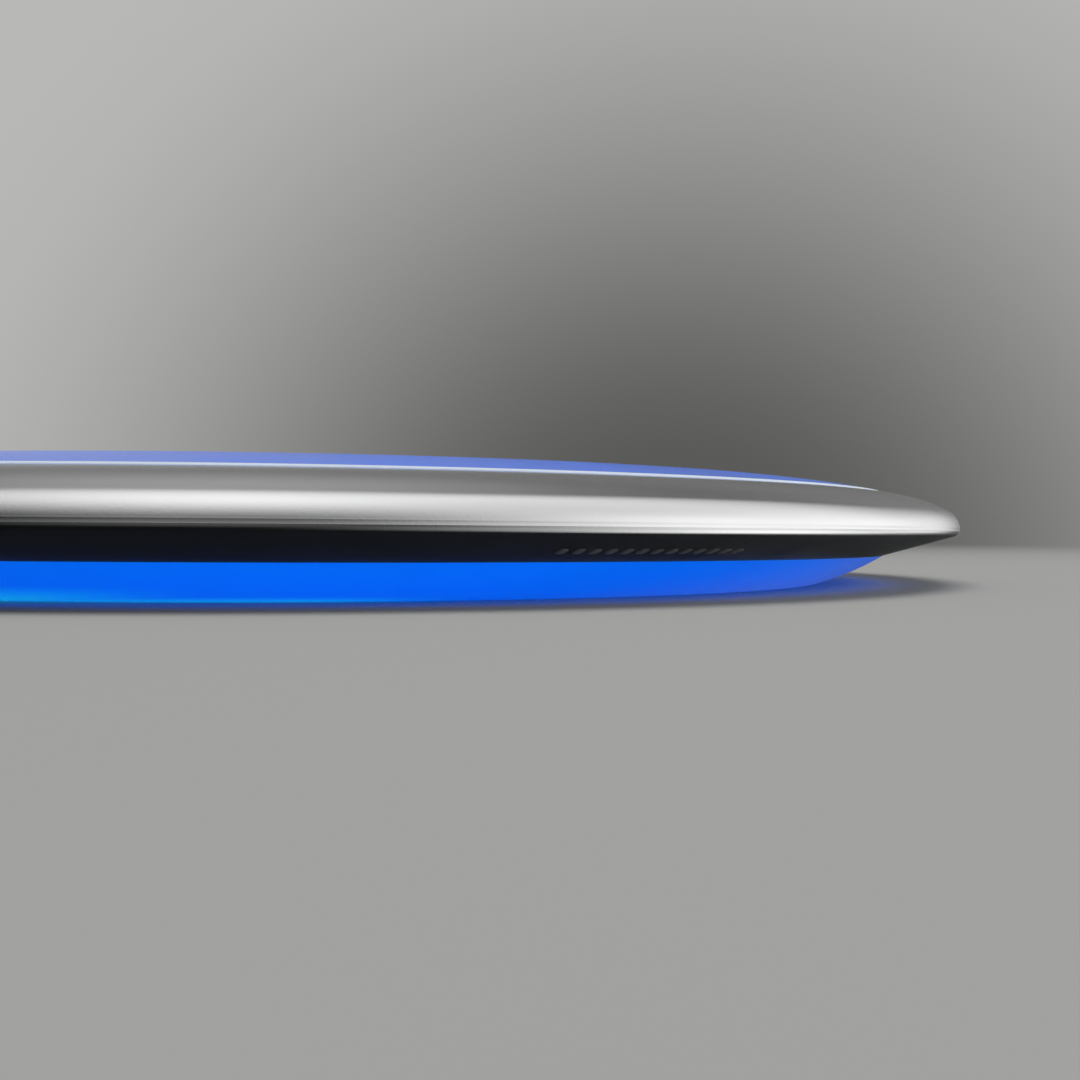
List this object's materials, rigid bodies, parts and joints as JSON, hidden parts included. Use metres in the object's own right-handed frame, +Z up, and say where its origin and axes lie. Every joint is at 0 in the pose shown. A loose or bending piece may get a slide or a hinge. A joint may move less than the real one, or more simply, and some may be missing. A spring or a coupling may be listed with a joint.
{
  "type": "flying disc",
  "caption": "Two-shot golf driver disc: a domed core with its inner rim, and a black outer ring moulded round it.",
  "frame": {"origin": "centre of the flat annular land at the foot of the rim, on the plane that the disc rests on", "axes": "+Z up along the disc's axis, towards the dome; X and Y lie in the rest plane, with the row of raised bars between -Y and +X"},
  "size_m": [0.211, 0.211, 0.0165],
  "materials": {
    "core_plastic": "smooth, slightly translucent",
    "ring_plastic": "satin, as moulded"
  },
  "bodies": {
    "root": {"core": "core_plastic", "overmold_rim": "ring_plastic"}
  },
  "joints": []
}
